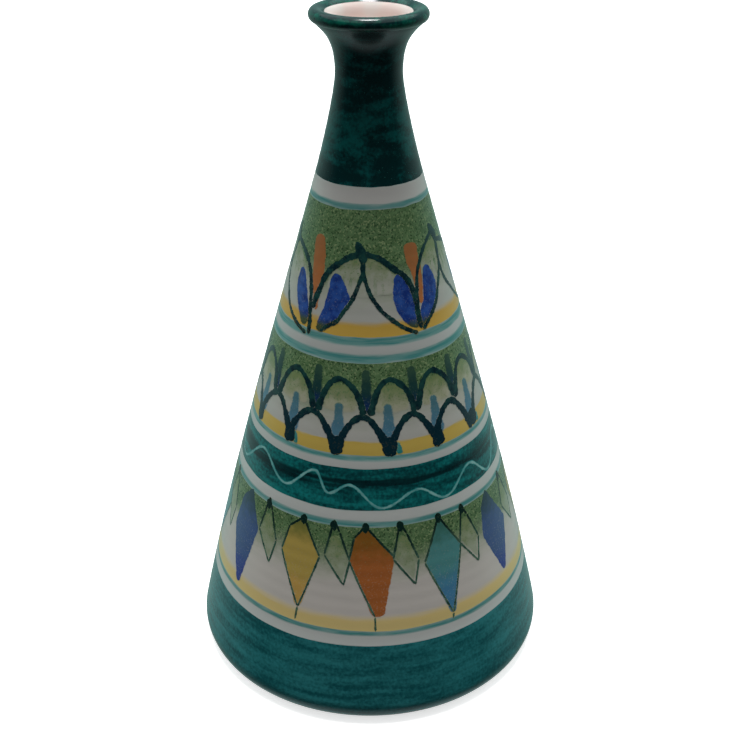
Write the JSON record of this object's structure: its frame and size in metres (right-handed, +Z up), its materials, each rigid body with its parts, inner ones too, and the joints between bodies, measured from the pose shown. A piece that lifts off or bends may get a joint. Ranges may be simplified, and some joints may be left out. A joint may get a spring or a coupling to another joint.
{
  "type": "bottle vase",
  "caption": "Conical bottle vase in painted tin-glazed pottery: narrow neck, rolled rim, and friezes of leaves, arches and lozenges between white lines.",
  "frame": {"origin": "centre of the foot ring, on the plane that it stands on", "axes": "+Z up along the vase's axis, out of the mouth; -Y is the painted side that the reference view faces"},
  "size_m": [0.1212, 0.1212, 0.2205],
  "materials": {
    "clay": "bare fired earthenware, matt and slightly gritty",
    "inner_white": "glossy white tin glaze, faintly pink",
    "white_line": "glossy white tin glaze",
    "teal_line": "glossy glaze over a thin brushed blue-green line",
    "foot_green": "glossy glaze over streaky blue-green brushed on the wheel",
    "wave_green": "glossy glaze over streaky dark blue-green with a scratched pale wave",
    "neck_green": "glossy glaze over dense dark green",
    "rim_green": "glossy dark green glaze, a little mottled",
    "lozenge_paint": "glossy glaze: green sponge over white, a yellow line, and lozenges in blue, yellow, orange and turquoise",
    "arch_paint": "glossy glaze: green sponge over white, dark arches, blue dabs and a yellow line",
    "leaf_paint": "glossy glaze: green sponge over white, dark arching stems, blue leaves, orange buds and a yellow line"
  },
  "bodies": {
    "root": {"base_slab": "clay", "body_wall": "clay", "neck_collar": "clay", "rim_roll": "clay", "inner_glaze": "inner_white", "foot_band": "foot_green", "white_line_1": "white_line", "teal_line_1": "teal_line", "lozenge_frieze": "lozenge_paint", "teal_line_2": "teal_line", "white_line_2": "white_line", "wave_band": "wave_green", "white_line_3": "white_line", "teal_line_3": "teal_line", "arch_frieze": "arch_paint", "teal_line_4": "teal_line", "white_line_4": "white_line", "teal_line_5": "teal_line", "leaf_frieze": "leaf_paint", "teal_line_6": "teal_line", "white_line_5": "white_line", "neck_glaze": "neck_green", "rim_glaze": "rim_green"}
  },
  "joints": []
}
